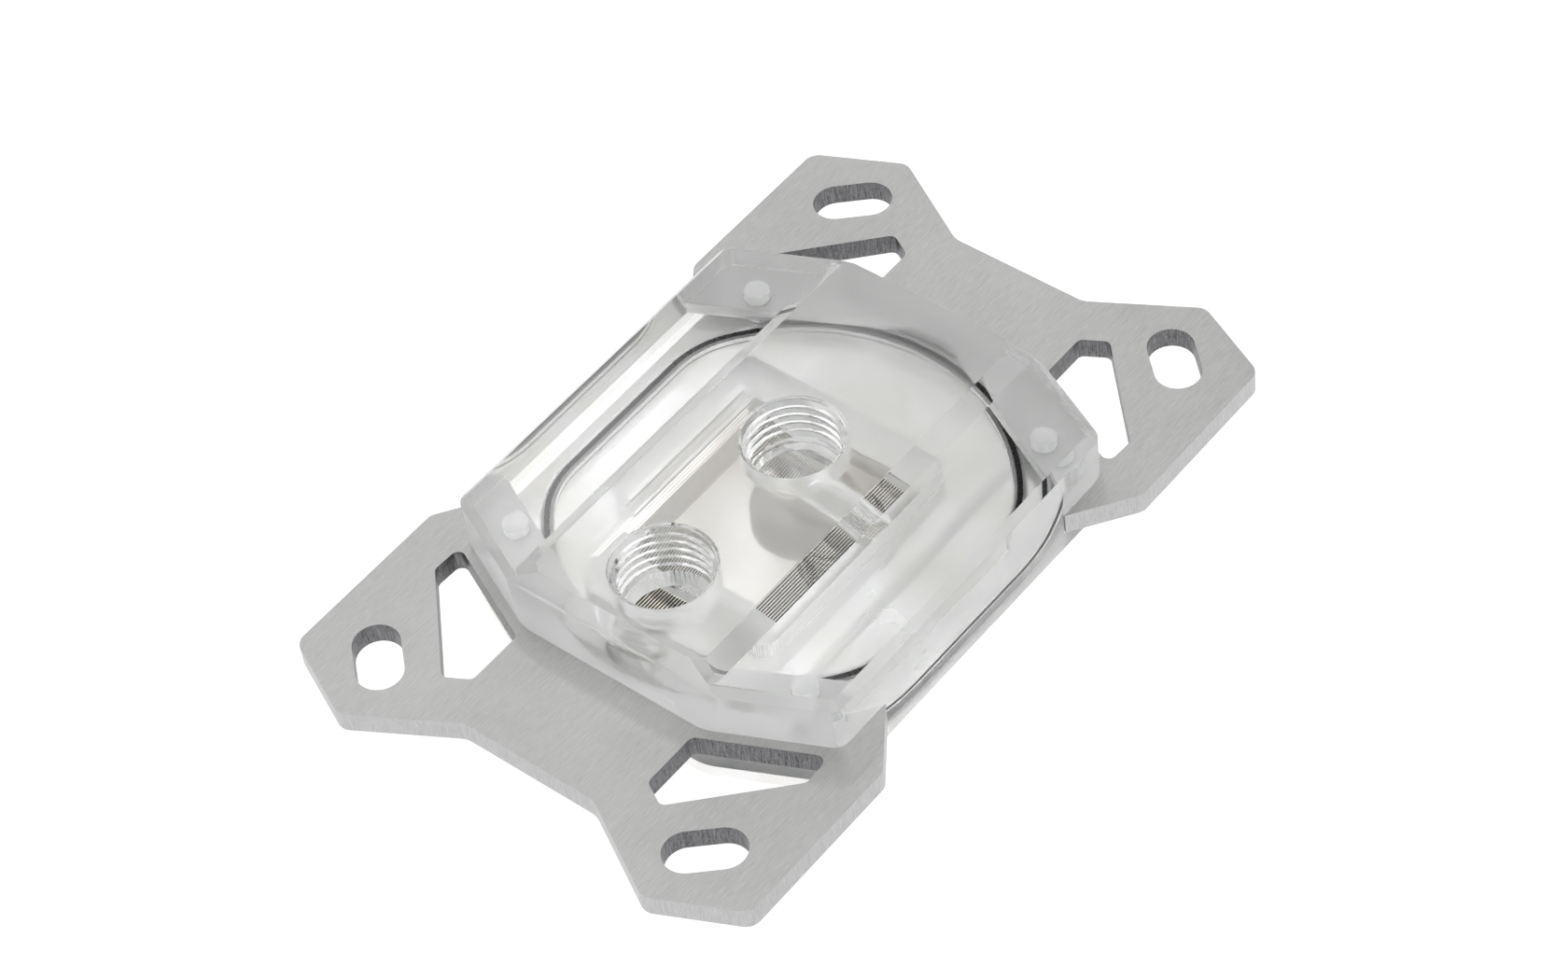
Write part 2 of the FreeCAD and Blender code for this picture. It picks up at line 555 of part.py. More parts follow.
def cut_ports(body):
    """Cut both threaded ports, the drilled bottom of the inlet and its duct."""
    for name, x, depth in (("Inlet", "Dim.inlet_x", "Dim.inlet_depth"),
                           ("Outlet", OUTLET_X, "%s - %s" % (PLATFORM, CHANNEL_TOP))):
        sketch = new_sketch(body, name + "Sketch", PLATFORM)
        disc(sketch, (x, "0"), "Dim.port_bore")
        base = pocket(body, sketch, depth, name + "Bore")
        rim = math.pi * value("Dim.port_bore")
        rings = [edge for edge in level_edges(base.Shape, PLATFORM)
                 if abs(base.Shape.getElement(edge).Length - rim) < 0.01]
        feature = body.newObject("PartDesign::Chamfer", name + "Mouth")
        feature.Base = (base, rings)
        feature.setExpression("Size", "(Dim.port_mouth - Dim.port_bore) / 2")
        doc.recompute()

    sketch = new_sketch(body, "DrillSketch", plane="XZ_Plane")
    bottom = "(%s - Dim.inlet_depth)" % PLATFORM
    wall_x = "(Dim.inlet_x + Dim.port_bore / 2)"
    tip = "(%s - tan(Dim.drill_angle) * Dim.port_bore / 2)" % bottom
    outline(sketch, [("Dim.inlet_x", tip), (wall_x, bottom), ("Dim.inlet_x", bottom)])
    axis = sketch.addGeometry(Part.LineSegment(FreeCAD.Vector(value("Dim.inlet_x"), 0, 0),
                                               FreeCAD.Vector(value("Dim.inlet_x"), 1, 0)), True)
    pin(sketch, axis, 1, ("Dim.inlet_x", "0"))
    pin(sketch, axis, 2, ("Dim.inlet_x", "1"))
    before = body.Shape.Volume
    feature = body.newObject("PartDesign::Groove", "DrillPoint")
    feature.Profile = sketch
    feature.ReferenceAxis = (sketch, ["Axis0"])
    feature.Angle = 360
    doc.recompute()
    if body.Shape.Volume >= before:
        raise RuntimeError("the drilled bottom cuts nothing")

    sketch = new_sketch(body, "DuctSketch", "%s + Dim.duct_rise" % BRACKET_TOP)
    sketch.setExpression(".AttachmentOffset.Rotation.Axis.x", "1")
    sketch.setExpression(".AttachmentOffset.Rotation.Axis.z", "0")
    sketch.setExpression(".AttachmentOffset.Rotation.Angle", "-(90 - Dim.duct_slope)")
    disc(sketch, ("Dim.duct_x", "0"), "Dim.duct_bore")
    pocket(body, sketch, "Dim.duct_length", "Duct")


def bolt_slot(sketch, sign):
    """Draw one round-ended slot, slanted away from the waist."""
    half_run = "((Dim.bolt_slot_length - Dim.bolt_slot_width) / 2)"
    run_x = "%s * cos(Dim.bolt_slot_angle)" % half_run
    run_y = "%s * sin(Dim.bolt_slot_angle)" % half_run
    side_x = "Dim.bolt_slot_width / 2 * sin(Dim.bolt_slot_angle)"
    side_y = "Dim.bolt_slot_width / 2 * cos(Dim.bolt_slot_angle)"
    ends = []
    for way, turn in (("-", "+"), ("+", "-")):
        centre = ("Dim.bolt_slot_x %s %s" % (way, run_x),
                  "%s(Dim.bolt_slot_y %s %s)" % (sign, turn, run_y))
        sides = [("Dim.bolt_slot_x %s %s %s %s" % (way, run_x, side, side_x),
                  "%s(Dim.bolt_slot_y %s %s %s %s)" % (sign, turn, run_y, side, side_y))
                 for side in (turn, way)]
        if sign:
            sides.reverse()
        middle = FreeCAD.Vector(value(centre[0]), value(centre[1]), 0)
        first = math.atan2(value(sides[0][1]) - middle.y, value(sides[0][0]) - middle.x)
        circle = Part.Circle(middle, FreeCAD.Vector(0, 0, 1), value("Dim.bolt_slot_width") / 2)
        arc = sketch.addGeometry(Part.ArcOfCircle(circle, first, first + math.pi))
        pin(sketch, arc, 3, centre)
        pin(sketch, arc, 1, sides[0])
        ends.append(arc)
    for first, last in (ends, reversed(ends)):
        line = sketch.addGeometry(Part.LineSegment(sketch.getPoint(first, 2),
                                                   sketch.getPoint(last, 1)))
        sketch.addConstraint(Sketcher.Constraint("Tangent", first, 2, line, 1))
        sketch.addConstraint(Sketcher.Constraint("Coincident", line, 2, last, 1))


def make_bracket(label, turn):
    """Steel bracket: cut from sheet, with two cutouts, two bolt slots and two screw holes."""
    body = new_body(label)
    tip_x = "(%s + Dim.bracket_fit)" % SLOT_START_X
    end_x = "(%s + Dim.bracket_fit)" % SLOT_END_X
    half = [
        (end_x, SLOT_END_Y), (tip_x, "(Dim.block_half_width + Dim.tip_reach)"),
        ("(%s + Dim.wing_run)" % SLOT_START_X, "Dim.bracket_half_width"),
        ("Dim.bracket_shoulder_x", "Dim.bracket_half_width"),
        ("Dim.bracket_half_length", "Dim.bracket_tip_width"),
        ("Dim.bracket_waist_x", "Dim.bracket_waist_y"),
    ]
    corners = half + [(x, minus(y)) for x, y in reversed(half)]
    sketch = new_sketch(body, label + "_outline", BRACKET_BOTTOM)
    outline(sketch, corners)
    base = pad(body, sketch, "Dim.bracket_thick", label + "_sheet")
    base = round_corners(body, base, corners[2:5] + corners[7:10], "Dim.bracket_rounding",
                         label + "_corners")
    round_corners(body, base, corners[5:7], "Dim.waist_rounding", label + "_waist")

    low_y = "(%s - Dim.cutout_waist_margin)" % END_Y
    end_corner_x = "(Dim.block_half_length + Dim.cutout_end_margin)"
    inner_x = "(Dim.block_half_length - Dim.cutout_wing_margin)"
    inner_y = "(Dim.block_half_width - Dim.cutout_side_margin)"
    for name, sign in (("upper", ""), ("lower", "-")):
        corners = [
            (end_corner_x, sign + low_y), ("Dim.cutout_low_x", sign + low_y),
            ("Dim.cutout_far_x", sign + "Dim.cutout_far_y"),
            ("(%s + Dim.cutout_head)" % inner_x, sign + "(%s + Dim.cutout_head_rise)" % inner_y),
            (inner_x, sign + inner_y),
        ]
        sketch = new_sketch(body, "%s_%s_cutout" % (label, name), BRACKET_TOP)
        outline(sketch, corners)
        base = pocket(body, sketch, "Dim.bracket_thick", "%s_%s_window" % (label, name))
        round_corners(body, base, corners, "Dim.cutout_rounding",
                      "%s_%s_rounding" % (label, name))
        sketch = new_sketch(body, "%s_%s_slot" % (label, name), BRACKET_TOP)
        bolt_slot(sketch, sign)
        pocket(body, sketch, "Dim.bracket_thick", "%s_%s_bolt_slot" % (label, name))

    sketch = new_sketch(body, label + "_holes", BRACKET_TOP)
    for y in (SCREW_Y, minus(SCREW_Y)):
        disc(sketch, (SCREW_X, y), "Dim.screw_bore")
    pocket(body, sketch, "Dim.bracket_thick", label + "_screw_holes")
    body.Placement = FreeCAD.Placement(FreeCAD.Vector(), FreeCAD.Rotation(turn, 0, 0))
    doc.recompute()
    return body


def make_screw(label, place):
    """Countersunk screw that holds plate, clear top and bracket together, head down."""
    body = new_body(label)
    head_radius = "(Dim.screw_head / 2)"
    shank_radius = "(Dim.screw_shank / 2)"
    length = "(%s + Dim.screw_grip)" % BRACKET_TOP
    sketch = new_sketch(body, label + "_section", plane="XZ_Plane")
    outline(sketch, [
        ("0", "Dim.head_recess"), (head_radius, "Dim.head_recess"),
        (shank_radius, "Dim.head_recess + %s - %s" % (head_radius, shank_radius)),
        (shank_radius, "%s - Dim.tip_chamfer" % length),
        ("%s - Dim.tip_chamfer" % shank_radius, length), ("0", length),
    ])
    feature = body.newObject("PartDesign::Revolution", label + "_turned")
    feature.Profile = sketch
    feature.ReferenceAxis = (sketch, ["V_Axis"])
    feature.Angle = 360
    doc.recompute()

    sketch = new_sketch(body, label + "_socket", "Dim.head_recess")
    corner = "Dim.screw_socket / 2 / cos(30)"
    outline(sketch, [("%s * cos(%d)" % (corner, angle), "%s * sin(%d)" % (corner, angle))
                     for angle in range(0, 360, 60)])
    pocket(body, sketch, "Dim.socket_depth", label + "_drive", upward=True)
    body.setExpression(".Placement.Base.x", place[0])
    body.setExpression(".Placement.Base.y", place[1])
    doc.recompute()
    return body


NODES = [
    make_plate(),
    make_seal(),
    make_top(),
    make_bracket("right_bracket", 0),
    make_bracket("left_bracket", 180),
]
for number, screw_place in enumerate(SCREW_PLACES, start=1):
    NODES.append(make_screw("clamp_screw_%d" % number, screw_place))

doc.recompute()
for item in doc.Objects:
    if "Invalid" in item.State or "Error" in item.State:
        raise RuntimeError("%s failed" % item.Label)
for node in NODES:
    if node.Shape.isNull() or not node.Shape.isValid() or len(node.Shape.Solids) != 1:
        raise RuntimeError("%s has no valid single solid" % node.Label)
    node.Shape.exportStep("parts/%s.step" % node.Label)
    print(node.Label, round(node.Shape.Volume, 2), node.Shape.BoundBox)
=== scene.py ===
"""Dress the processor cold plate: clear top, steel brackets, finned plate, seal and screws.

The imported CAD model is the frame. The clear top gets its two cut threads, and the
brackets get their broken edges. Every piece gets the finish of the real one.
"""
from __future__ import annotations

import json
import logging
import math
from dataclasses import dataclass, field
from enum import Enum
from typing import Optional, Union

import bpy
from mathutils import Matrix, Vector

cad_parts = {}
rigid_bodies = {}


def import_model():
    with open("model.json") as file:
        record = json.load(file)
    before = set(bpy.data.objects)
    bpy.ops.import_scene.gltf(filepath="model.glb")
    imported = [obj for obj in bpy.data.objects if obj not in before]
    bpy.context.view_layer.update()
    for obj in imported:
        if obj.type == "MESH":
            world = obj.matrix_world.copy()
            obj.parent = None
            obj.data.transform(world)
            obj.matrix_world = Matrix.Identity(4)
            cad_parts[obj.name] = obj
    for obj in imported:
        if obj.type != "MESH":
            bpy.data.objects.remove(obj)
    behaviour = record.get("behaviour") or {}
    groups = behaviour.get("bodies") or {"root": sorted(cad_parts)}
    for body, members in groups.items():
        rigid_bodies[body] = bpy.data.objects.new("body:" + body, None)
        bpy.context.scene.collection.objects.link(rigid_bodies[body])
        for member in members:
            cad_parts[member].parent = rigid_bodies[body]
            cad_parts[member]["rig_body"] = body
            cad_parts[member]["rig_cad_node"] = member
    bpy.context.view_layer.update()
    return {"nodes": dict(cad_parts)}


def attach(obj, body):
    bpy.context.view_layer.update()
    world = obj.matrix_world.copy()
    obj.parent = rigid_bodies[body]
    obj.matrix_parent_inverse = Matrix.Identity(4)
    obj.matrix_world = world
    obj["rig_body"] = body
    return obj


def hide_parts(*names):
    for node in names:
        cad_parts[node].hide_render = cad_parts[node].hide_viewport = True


MM = 0.001
WELD = 1e-6
SMOOTH_ANGLE = 32.0
NOISE_SPAN = (0.3, 0.7)
WHITE = (1.0, 1.0, 1.0, 1.0)
BODY = "root"
LOG = logging.getLogger("cold_plate")

Point = tuple[float, float, float]
Colour = tuple[float, float, float]
Input = Union[bpy.types.NodeSocket, float, tuple]


class AcrylicFace(Enum):
    """How a face of the clear top was finished; the value is its material slot.

    TAPPED is for the threads and the channel's far wall, BORED for the inlet's bore and its
    duct, and DRILLED for the four blind screw holes.
    """

    POLISHED = 0
    MILLED = 1
    SLOTTED = 2
    TAPPED = 3
    SATIN = 4
    BORED = 5
    DRILLED = 6


class SteelFace(Enum):
    """How a face of a bracket was finished; the value is its material slot."""

    BRUSHED = 0
    OUTER_EDGE = 1
    INNER_EDGE = 2


class NodeSheet:
    """The nodes of one material or world, added one by one and joined."""

    def __init__(self, tree: bpy.types.NodeTree) -> None:
        """Start with an empty sheet.

        Args:
            tree: the node tree of a material or world.
        """
        self.tree = tree
        tree.nodes.clear()

    def add(self, kind: str, inputs: Optional[dict[str, Input]] = None,
            **settings: object) -> bpy.types.Node:
        """Add a node.

        Args:
            kind: Blender's name for the kind of node.
            inputs: a value or another node's output for each named input.
            **settings: properties of the node itself.

        Returns:
            The new node.
        """
        node = self.tree.nodes.new(kind)
        for name, setting in settings.items():
            setattr(node, name, setting)
        for name, source in (inputs or {}).items():
            self.feed(node.inputs[name], source)
        return node

    def feed(self, socket: bpy.types.NodeSocket, source: Input) -> None:
        """Give an input its value, or join it to another node's output.

        Args:
            socket: the input.
            source: a value, or the output that feeds it.
        """
        if isinstance(source, bpy.types.NodeSocket):
            self.tree.links.new(source, socket)
        else:
            socket.default_value = source

    def maths(self, operation: str, first: Input, second: Input = 0.0,
              clamp: bool = False) -> bpy.types.NodeSocket:
        """Combine two numbers.

        Args:
            operation: Blender's name for the operation.
            first: the first number.
            second: the second number.
            clamp: keep the result from 0 to 1.

        Returns:
            The result.
        """
        node = self.add("ShaderNodeMath", operation=operation, use_clamp=clamp)
        self.feed(node.inputs[0], first)
        self.feed(node.inputs[1], second)
        return node.outputs[0]

    def stretch(self, *sizes: float) -> bpy.types.NodeSocket:
        """Return the piece's own coordinates for features stretched along the axes.

        Args:
            *sizes: the size of a feature along X, Y and Z, in millimetres.

        Returns:
            The coordinates.
        """
        place = self.add("ShaderNodeTexCoord").outputs["Object"]
        scale = tuple(1.0 / (size * MM) for size in sizes)
        node = self.add("ShaderNodeMapping", {"Vector": place, "Scale": scale})
        return node.outputs["Vector"]

    def even(self, size: float) -> bpy.types.NodeSocket:
        """Return the piece's own coordinates for features of one size.

        Args:
            size: the size of a feature in millimetres.

        Returns:
            The coordinates.
        """
        return self.stretch(size, size, size)

    def noise(self, vector: Input, detail: float = 2.0,
              roughness: float = 0.5) -> bpy.types.NodeSocket:
        """Return soft noise from 0 to 1.

        Args:
            vector: the coordinates, one feature to the unit.
            detail: how many finer layers are added.
            roughness: how strong the finer layers are.

        Returns:
            The noise.
        """
        node = self.add("ShaderNodeTexNoise", {"Vector": vector, "Scale": 1.0,
                                               "Detail": detail, "Roughness": roughness})
        return node.outputs["Fac"]

    def remap(self, source: Input, low: float, high: float, to_low: float,
              to_high: float, smooth: bool = False) -> bpy.types.NodeSocket:
        """Move a number from one range to another.

        Args:
            source: the number.
            low: where its range starts.
            high: where its range ends.
            to_low: where the new range starts.
            to_high: where the new range ends.
            smooth: ease in and out.

        Returns:
            The moved number.
        """
        node = self.add("ShaderNodeMapRange", {"From Min": low, "From Max": high,
                                               "To Min": to_low, "To Max": to_high},
                        interpolation_type="SMOOTHSTEP" if smooth else "LINEAR")
        self.feed(node.inputs["Value"], source)
        return node.outputs["Result"]

    def spread(self, noise: Input, low: float, high: float) -> bpy.types.NodeSocket:
        """Spread a noise over a range.

        Args:
            noise: the noise.
            low: the range's low end.
            high: its high end.

        Returns:
            A number in the range.
        """
        return self.remap(noise, *NOISE_SPAN, low, high)

    def weigh(self, *parts: tuple[Input, float]) -> bpy.types.NodeSocket:
        """Add numbers up, each with its weight.

        Args:
            *parts: each number with its weight.

        Returns:
            The sum.
        """
        total: Input = 0.0
        for source, weight in parts:
            total = self.maths("ADD", total, self.maths("MULTIPLY", source, weight))
        return total

    def blend(self, share: Input, first: Colour, second: Colour) -> bpy.types.NodeSocket:
        """Blend two colours.

        Args:
            share: 0 for the first colour, 1 for the second.
            first: the first colour.
            second: the second colour.

        Returns:
            The colour.
        """
        node = self.add("ShaderNodeValToRGB")
        self.feed(node.inputs["Fac"], share)
        node.color_ramp.elements[0].color = (*first, 1.0)
        node.color_ramp.elements[1].color = (*second, 1.0)
        return node.outputs["Color"]

    def relief(self, height: Input, depth: float,
               over: Optional[bpy.types.NodeSocket] = None) -> bpy.types.NodeSocket:
        """Return a normal that follows a height.

        Args:
            height: the height, from 0 to 1.
            depth: what a height of 1 stands for, in millimetres.
            over: a normal that this one is added to.

        Returns:
            The normal.
        """
        inputs: dict[str, Input] = {"Height": height, "Distance": depth * MM, "Strength": 1.0}
        if over is not None:
            inputs["Normal"] = over
        return self.add("ShaderNodeBump", inputs).outputs["Normal"]

    def mix(self, share: Input, first: bpy.types.NodeSocket,
            second: bpy.types.NodeSocket) -> bpy.types.NodeSocket:
        """Mix two shaders.

        Args:
            share: 0 for the first, 1 for the second.
            first: the first shader.
            second: the second shader.

        Returns:
            The mixed shader.
        """
        node = self.add("ShaderNodeMixShader", {"Fac": share})
        self.feed(node.inputs[1], first)
        self.feed(node.inputs[2], second)
        return node.outputs[0]

    def surface(self, shader: bpy.types.NodeSocket) -> None:
        """Join a shader to the material's or world's output.

        Args:
            shader: the shader.
        """
        kind = "ShaderNodeOutputMaterial"
        if isinstance(self.tree.id_data, bpy.types.World):
            kind = "ShaderNodeOutputWorld"
        self.add(kind, {"Surface": shader})


def new_material(name: str) -> tuple[bpy.types.Material, NodeSheet]:
    """Make an empty material.

    Args:
        name: the material's name.

    Returns:
        The material and its node sheet.
    """
    material = bpy.data.materials.new(name)
    material.use_nodes = True
    return material, NodeSheet(material.node_tree)


@dataclass(frozen=True)
class ClearAcrylic:
    """Clear cast acrylic. Lengths are in millimetres."""

    name: str
    gloss: tuple[float, float]
    wave_length: float
    wave_height: float
    mark_length: float
    mark_width: float
    mark_height: float
    haze: tuple[float, float] = (0.0, 0.0)
    blur: tuple[float, float] = (0.0, 0.0)
    through_share: float = 0.2
    tint: Colour = (0.985, 0.990, 0.988)
    white: Colour = (0.91, 0.915, 0.91)
    smear: float = 11.111
    index: float = 1.49

    def build(self) -> bpy.types.Material:
        """Make the material: slow waves of the surface under fine polishing or tool marks."""
        material, sheet = new_material(self.name)
        smear = sheet.noise(sheet.even(self.smear), detail=3.0)
        waves = sheet.noise(sheet.even(self.wave_length), detail=1.0)
        normal = sheet.relief(waves, self.wave_height)
        marks = sheet.noise(sheet.stretch(self.mark_length, self.mark_width,
                                          self.mark_width))
        normal = sheet.relief(marks, self.mark_height, over=normal)
        look = self.clear(sheet, sheet.spread(smear, *self.gloss), normal)
        if self.blur[1] > 0.0:
            look = sheet.mix(self.blur[0], look, self.clear(sheet, self.blur[1], normal))
        if self.haze[1] > 0.0:
            share = sheet.spread(smear, *self.haze)
            look = sheet.mix(share, look, self.frost(sheet, normal))
        sheet.surface(look)
        return material

    def clear(self, sheet: NodeSheet, roughness: Input,
              normal: bpy.types.NodeSocket) -> bpy.types.NodeSocket:
        """Let the light through, bent and a little tinted.

        Args:
            sheet: the material's nodes.
            roughness: how far the surface scatters what it bends.
            normal: the surface's relief.

        Returns:
            The shader.
        """
        shader = sheet.add("ShaderNodeBsdfPrincipled", {
            "Base Color": (*self.tint, 1.0), "IOR": self.index, "Transmission Weight": 1.0,
            "Roughness": roughness, "Normal": normal})
        return shader.outputs["BSDF"]

    def frost(self, sheet: NodeSheet,
              normal: bpy.types.NodeSocket) -> bpy.types.NodeSocket:
        """Scatter light both ways, as a surface with fine tool marks does.

        Args:
            sheet: the material's nodes.
            normal: the surface's relief.

        Returns:
            The shader.
        """
        inputs = {"Color": (*self.white, 1.0), "Normal": normal}
        back = sheet.add("ShaderNodeBsdfDiffuse", inputs)
        through = sheet.add("ShaderNodeBsdfTranslucent", inputs)
        return sheet.mix(self.through_share, back.outputs[0], through.outputs[0])


@dataclass(frozen=True)
class BrushedSteel:
    """Sheet steel with a fine grain along X. Lengths are in millimetres."""

    name: str = "steel_brushed"
    dark: Colour = (0.41, 0.41, 0.405)
    light: Colour = (0.68, 0.68, 0.673)
    gloss: tuple[float, float] = (0.32, 0.44)
    grain_length: float = 1.6
    grain_width: float = 0.10
    streak_length: float = 5.0
    streak_width: float = 0.22
    grain_height: float = 0.004
    grain_roughness: float = 0.65
    cloud: float = 14.0
    streak_share: float = 0.35
    grain_share: float = 0.65
    cloud_share: float = 0.25
    colour_span: tuple[float, float] = (0.35, 0.90)

    def build(self) -> bpy.types.Material:
        """Make the material: hair fine lines, wider streaks and faint clouds."""
        material, sheet = new_material(self.name)
        grain = sheet.noise(sheet.stretch(self.grain_length, self.grain_width,
                                          self.grain_width),
                            detail=3.0, roughness=self.grain_roughness)
        streaks = sheet.noise(sheet.stretch(self.streak_length, self.streak_width,
                                            self.streak_width))
        clouds = sheet.noise(sheet.even(self.cloud))
        mix = sheet.weigh((streaks, self.streak_share), (grain, self.grain_share),
                          (clouds, self.cloud_share))
        share = sheet.remap(mix, *self.colour_span, 0.0, 1.0)
        colour = sheet.blend(share, self.dark, self.light)
        shader = sheet.add("ShaderNodeBsdfPrincipled", {
            "Base Color": colour, "Metallic": 1.0,
            "Roughness": sheet.spread(streaks, *self.gloss),
            "Normal": sheet.relief(grain, self.grain_height)})
        sheet.surface(shader.outputs["BSDF"])
        return material


@dataclass(frozen=True)
class CutEdgeSteel:
    """The cut walls of the sheet steel. Lengths are in millimetres."""

    name: str
    dark: Colour
    light: Colour
    gloss: tuple[float, float] = (0.30, 0.50)
    line_width: float = 0.16
    line_length: float = 1.8
    line_height: float = 0.006
    line_share: float = 0.6
    melt: float = 0.35
    melt_share: float = 0.4

    def build(self) -> bpy.types.Material:
        """Make the material: upright cutting lines over a fine melted grain."""
        material, sheet = new_material(self.name)
        lines = sheet.noise(sheet.stretch(self.line_width, self.line_width,
                                          self.line_length))
        melt = sheet.noise(sheet.even(self.melt), detail=3.0)
        mix = sheet.weigh((lines, self.line_share), (melt, self.melt_share))
        colour = sheet.blend(sheet.spread(mix, 0.0, 1.0), self.dark, self.light)
        normal = sheet.relief(lines, self.line_height)
        normal = sheet.relief(melt, self.line_height, over=normal)
        shader = sheet.add("ShaderNodeBsdfPrincipled", {
            "Base Color": colour, "Metallic": 1.0,
            "Roughness": sheet.spread(melt, *self.gloss), "Normal": normal})
        sheet.surface(shader.outputs["BSDF"])
        return material


@dataclass(frozen=True)
class NickelPlate:
    """Nickel plating over milled copper. Lengths are in millimetres."""

    name: str = "nickel_plated_copper"
    cool: Colour = (0.90, 0.90, 0.895)
    warm: Colour = (0.80, 0.76, 0.69)
    gloss: tuple[float, float] = (0.10, 0.20)
    mill_length: float = 12.0
    mill_width: float = 0.30
    mill_height: float = 0.0003
    bow_length: float = 13.0
    bow_height: float = 0.16
    stain: float = 11.0
    stain_span: tuple[float, float] = (0.42, 0.62)
    stain_share: float = 0.45
    # Painted shade of the fin grooves: the fin field is blended towards the darker warm colour
    # by this share.
    fin_middle_x: float = -4.35
    fin_reach: tuple[float, float] = (15.7, 12.8)
    fin_fade: float = 1.2
    fin_shade_share: float = 0.55

    def build(self) -> bpy.types.Material:
        """Make the material: slow waves and cutter lines under plating with a warm cast, and
        painted shade over the fin field.
        """
        material, sheet = new_material(self.name)
        stain = sheet.noise(sheet.even(self.stain), detail=3.0)
        lines = sheet.noise(sheet.stretch(self.mill_length, self.mill_width,
                                          self.mill_width))
        stains = sheet.remap(stain, *self.stain_span, 0.0, self.stain_share)
        # Painted shade: the fin field is blended towards the darker warm colour, on top of the
        # real stains.
        fins = sheet.maths("MULTIPLY", self.fin_shade_field(sheet), self.fin_shade_share)
        colour = sheet.blend(sheet.maths("ADD", stains, fins), self.cool, self.warm)
        bow = sheet.noise(sheet.even(self.bow_length), detail=0.0)
        normal = sheet.relief(bow, self.bow_height)
        shader = sheet.add("ShaderNodeBsdfPrincipled", {
            "Base Color": colour, "Metallic": 1.0,
            "Roughness": sheet.spread(stain, *self.gloss),
            "Normal": sheet.relief(lines, self.mill_height, over=normal)})
        sheet.surface(shader.outputs["BSDF"])
        return material

    def fin_shade_field(self, sheet: NodeSheet) -> bpy.types.NodeSocket:
        """Return 1 on the fins and 0 around them, where the plating is painted darker and
        warmer as painted shade of the fin grooves.

        Args:
            sheet: the material's nodes.

        Returns:
            The share.
        """
        place = sheet.add("ShaderNodeTexCoord").outputs["Object"]
        split = sheet.add("ShaderNodeSeparateXYZ", {"Vector": place})
        along = sheet.maths("SUBTRACT", split.outputs["X"], self.fin_middle_x * MM)
        share: Input = 1.0
        for distance, reach in zip((along, split.outputs["Y"]), self.fin_reach):
            inside = sheet.remap(sheet.maths("ABSOLUTE", distance),
                                 (reach - self.fin_fade) * MM, reach * MM, 1.0, 0.0)
            share = sheet.maths("MULTIPLY", inside, share)
        return share


@dataclass(frozen=True)
class SealRubber:
    """Black rubber with a fine moulded skin. Lengths are in millimetres."""

    name: str = "seal_rubber"
    dark: Colour = (0.010, 0.010, 0.011)
    light: Colour = (0.022, 0.022, 0.023)
    gloss: tuple[float, float] = (0.38, 0.55)
    skin: float = 0.35
    skin_height: float = 0.004

    def build(self) -> bpy.types.Material:
        """Make the material: a fine skin with a little dust in it."""
        material, sheet = new_material(self.name)
        skin = sheet.noise(sheet.even(self.skin), detail=4.0)
        shader = sheet.add("ShaderNodeBsdfPrincipled", {
            "Base Color": sheet.blend(skin, self.dark, self.light),
            "Roughness": sheet.spread(skin, *self.gloss),
            "Normal": sheet.relief(skin, self.skin_height)})
        sheet.surface(shader.outputs["BSDF"])
        return material


@dataclass(frozen=True)
class TurnedSteel:
    """Turned stainless steel of the screws. Lengths are in millimetres."""

    name: str = "steel_turned"
    dark: Colour = (0.38, 0.38, 0.39)
    light: Colour = (0.56, 0.56, 0.57)
    gloss: tuple[float, float] = (0.20, 0.34)
    mark_width: float = 0.12
    mark_length: float = 1.2
    mark_height: float = 0.003
    mottle: float = 1.111

    def build(self) -> bpy.types.Material:
        """Make the material: level turning marks and a slight mottle."""
        material, sheet = new_material(self.name)
        marks = sheet.noise(sheet.stretch(self.mark_length, self.mark_length,
                                          self.mark_width))
        mottle = sheet.noise(sheet.even(self.mottle), detail=3.0)
        shader = sheet.add("ShaderNodeBsdfPrincipled", {
            "Base Color": sheet.blend(mottle, self.dark, self.light), "Metallic": 1.0,
            "Roughness": sheet.spread(mottle, *self.gloss),
            "Normal": sheet.relief(marks, self.mark_height)})
        sheet.surface(shader.outputs["BSDF"])
        return material


POLISHED_ACRYLIC = ClearAcrylic(
    name="acrylic_polished", gloss=(0.004, 0.022),
    wave_length=7.0, wave_height=0.0015, mark_length=2.5, mark_width=0.09, mark_height=0.00008)
MILLED_ACRYLIC = ClearAcrylic(
    name="acrylic_milled", gloss=(0.26, 0.40),
    wave_length=3.0, wave_height=0.002, mark_length=6.0, mark_width=0.20, mark_height=0.0012,
    haze=(0.17, 0.28))
SLOTTED_ACRYLIC = ClearAcrylic(
    name="acrylic_slotted", gloss=(0.28, 0.40),
    wave_length=5.0, wave_height=0.002, mark_length=5.0, mark_width=0.16, mark_height=0.0012,
    haze=(0.40, 0.52))
TAPPED_ACRYLIC = ClearAcrylic(
    name="acrylic_tapped", gloss=(0.05, 0.12),
    wave_length=2.0, wave_height=0.001, mark_length=3.0, mark_width=0.15, mark_height=0.0006,
    haze=(0.02, 0.06))
BORED_ACRYLIC = ClearAcrylic(
    name="acrylic_bored", gloss=(0.12, 0.22),
    wave_length=2.0, wave_height=0.002, mark_length=1.0, mark_width=0.20, mark_height=0.0012,
    haze=(0.16, 0.26))
DRILLED_ACRYLIC = ClearAcrylic(
    name="acrylic_drilled", gloss=(0.26, 0.40),
    wave_length=2.0, wave_height=0.002, mark_length=1.0, mark_width=0.15, mark_height=0.0010,
    haze=(0.70, 0.84))
SATIN_ACRYLIC = ClearAcrylic(
    name="acrylic_satin", gloss=(0.03, 0.07),
    wave_length=4.0, wave_height=0.002, mark_length=8.0, mark_width=0.25, mark_height=0.0004,
    blur=(0.5, 0.42))
OUTER_EDGE_STEEL = CutEdgeSteel(
    name="steel_outer_edge", dark=(0.42, 0.416, 0.42), light=(0.60, 0.595, 0.60))
